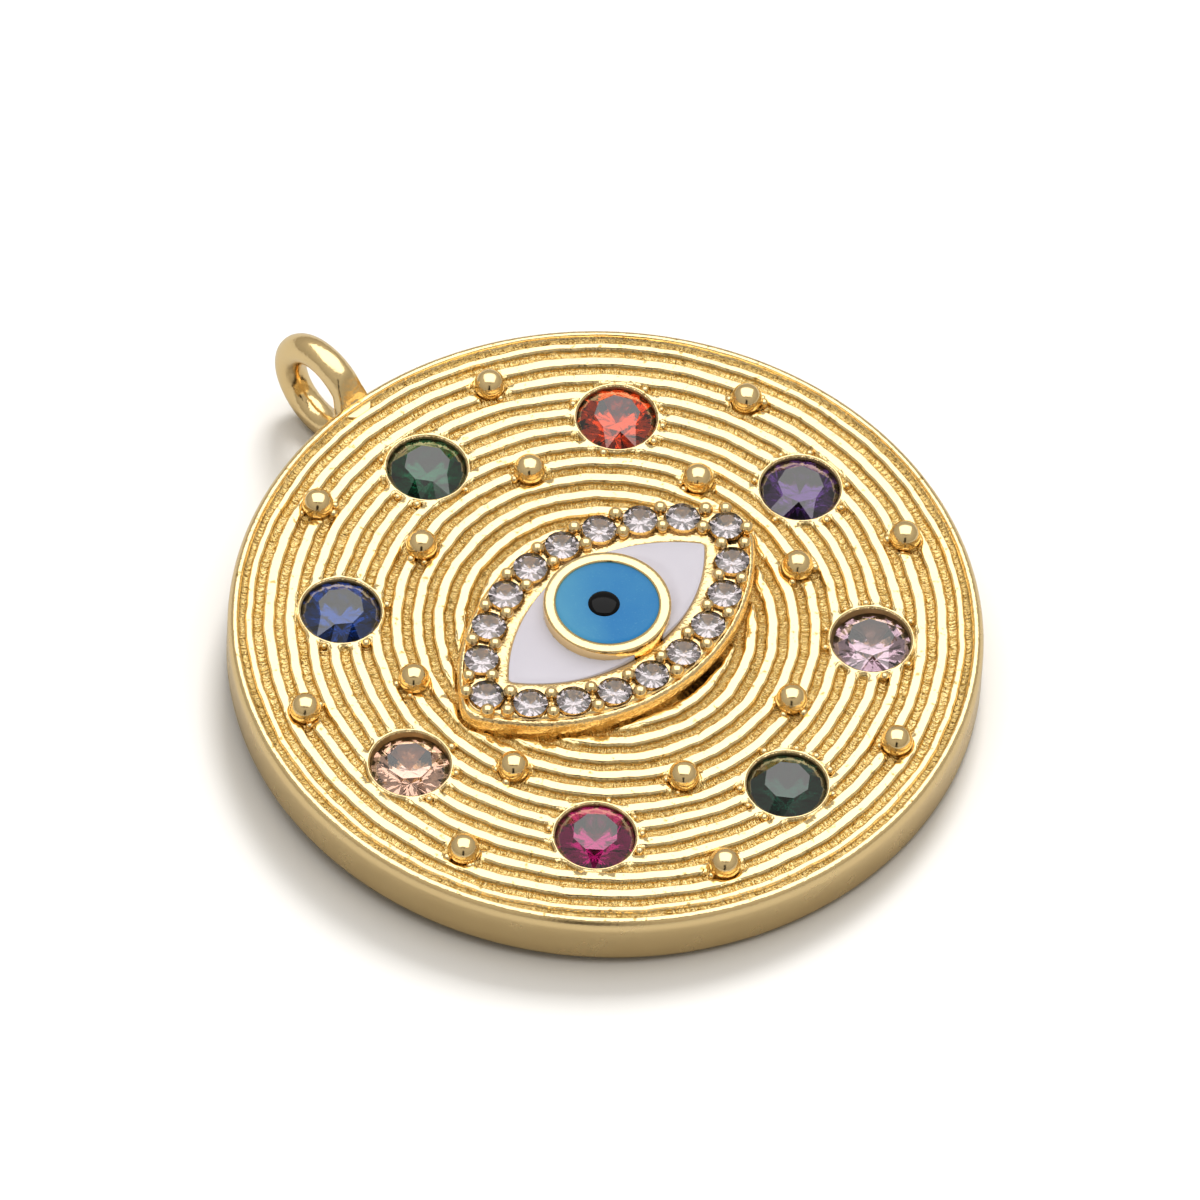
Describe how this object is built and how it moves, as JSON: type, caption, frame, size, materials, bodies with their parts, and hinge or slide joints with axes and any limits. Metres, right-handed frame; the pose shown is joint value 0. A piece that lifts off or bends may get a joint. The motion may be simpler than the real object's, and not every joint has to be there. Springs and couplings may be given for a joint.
{
  "type": "evil eye pendant",
  "caption": "Round gold-tone pendant with concentric grooves, coloured stones and beads, a raised enamel eye framed in small clear stones, and a loop to hang it by.",
  "frame": {"origin": "middle of the disc's flat back face", "axes": "+Z out of the face towards the viewer, +Y towards the hanging loop, +X along the eye's long axis"},
  "size_m": [0.024, 0.0274, 0.0041],
  "materials": {
    "gold": "cast brass with polished gold-tone plating, grainy in the groove floors",
    "stone_emerald": "deep green cubic zirconia, round brilliant",
    "stone_orange": "red-orange cubic zirconia, round brilliant",
    "stone_violet": "violet cubic zirconia, round brilliant",
    "stone_pink": "pale pink cubic zirconia, round brilliant",
    "stone_teal": "dark green cubic zirconia, round brilliant",
    "stone_ruby": "magenta cubic zirconia, round brilliant",
    "stone_champagne": "champagne cubic zirconia, round brilliant",
    "stone_sapphire": "blue cubic zirconia, round brilliant",
    "enamel_white": "glossy cool white cold enamel",
    "enamel_blue": "glossy sky-blue cold enamel",
    "enamel_black": "glossy black cold enamel dome",
    "pave_clear": "clear cubic zirconia with a faint lilac cast, round brilliant"
  },
  "bodies": {
    "root": {"disc_body": "gold", "loop": "gold", "stone_north_emerald": "stone_emerald", "stone_north_east_orange": "stone_orange", "stone_east_violet": "stone_violet", "stone_south_east_pink": "stone_pink", "stone_south_teal": "stone_teal", "stone_south_west_ruby": "stone_ruby", "stone_west_champagne": "stone_champagne", "stone_north_west_sapphire": "stone_sapphire", "eye_plaque": "gold", "iris_bezel": "gold", "enamel_white_left": "enamel_white", "enamel_white_right": "enamel_white", "enamel_iris_blue": "enamel_blue", "pupil_black": "enamel_black", "pave_stone_01": "pave_clear", "pave_stone_02": "pave_clear", "pave_stone_03": "pave_clear", "pave_stone_04": "pave_clear", "pave_stone_05": "pave_clear", "pave_stone_06": "pave_clear", "pave_stone_07": "pave_clear", "pave_stone_08": "pave_clear", "pave_stone_09": "pave_clear", "pave_stone_10": "pave_clear", "pave_stone_11": "pave_clear", "pave_stone_12": "pave_clear", "pave_stone_13": "pave_clear", "pave_stone_14": "pave_clear", "pave_stone_15": "pave_clear", "pave_stone_16": "pave_clear", "pave_stone_17": "pave_clear", "pave_stone_18": "pave_clear"}
  },
  "joints": []
}
